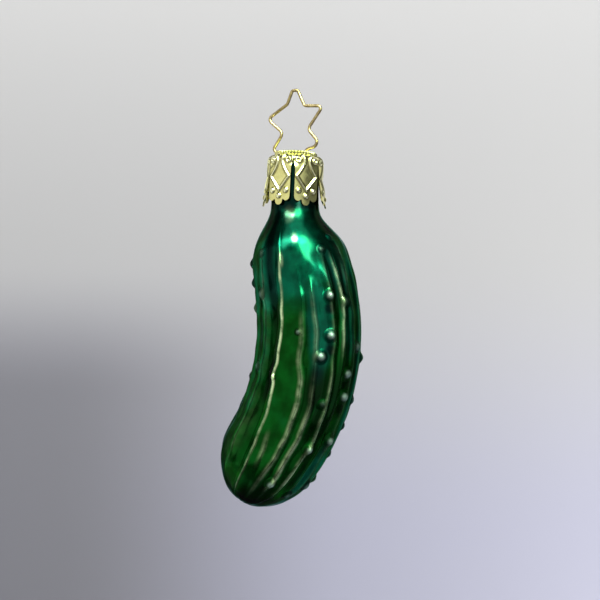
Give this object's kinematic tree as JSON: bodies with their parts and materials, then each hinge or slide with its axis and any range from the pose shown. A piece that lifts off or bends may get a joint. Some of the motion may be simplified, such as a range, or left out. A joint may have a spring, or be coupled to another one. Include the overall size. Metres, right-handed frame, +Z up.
{
  "type": "pickle ornament",
  "caption": "Hanging blown-glass pickle: a curved, ridged and warty shell with a stamped, embossed crown cap on its neck and a star-bent spring wire to hang it by.",
  "frame": {"origin": "inside of the hanger wire's top bend, on the neck's axis, where a twig or hook carries the ornament", "axes": "+Z up along the neck; the pickle curves in the XZ plane with its tip towards -X; its front faces -Y"},
  "size_m": [0.0351, 0.0264, 0.1042],
  "materials": {
    "hanger_wire": "gold-toned spring wire, bright drawn",
    "cap_brass": "pale gold stamped sheet, bright",
    "lacquered_glass": "green satin lacquer over glass that is silvered inside, so it lets no light through"
  },
  "bodies": {
    "hanger": {"spring_hanger": "hanger_wire"},
    "cap": {"crown_cap": "cap_brass"},
    "glass": {"glass_pickle": "lacquered_glass"}
  },
  "joints": [
    {"name": "cap_rock", "type": "hinge", "parent": "hanger", "child": "cap", "pos_m": [0, 0, -0.01547], "axis": [0.9063, -0.4226, 0], "range_deg": [-7, 7]},
    {"name": "glass_pull_off", "type": "slide", "parent": "cap", "child": "glass", "axis": [0, 0, -1], "range_m": [0, 0.025]}
  ]
}
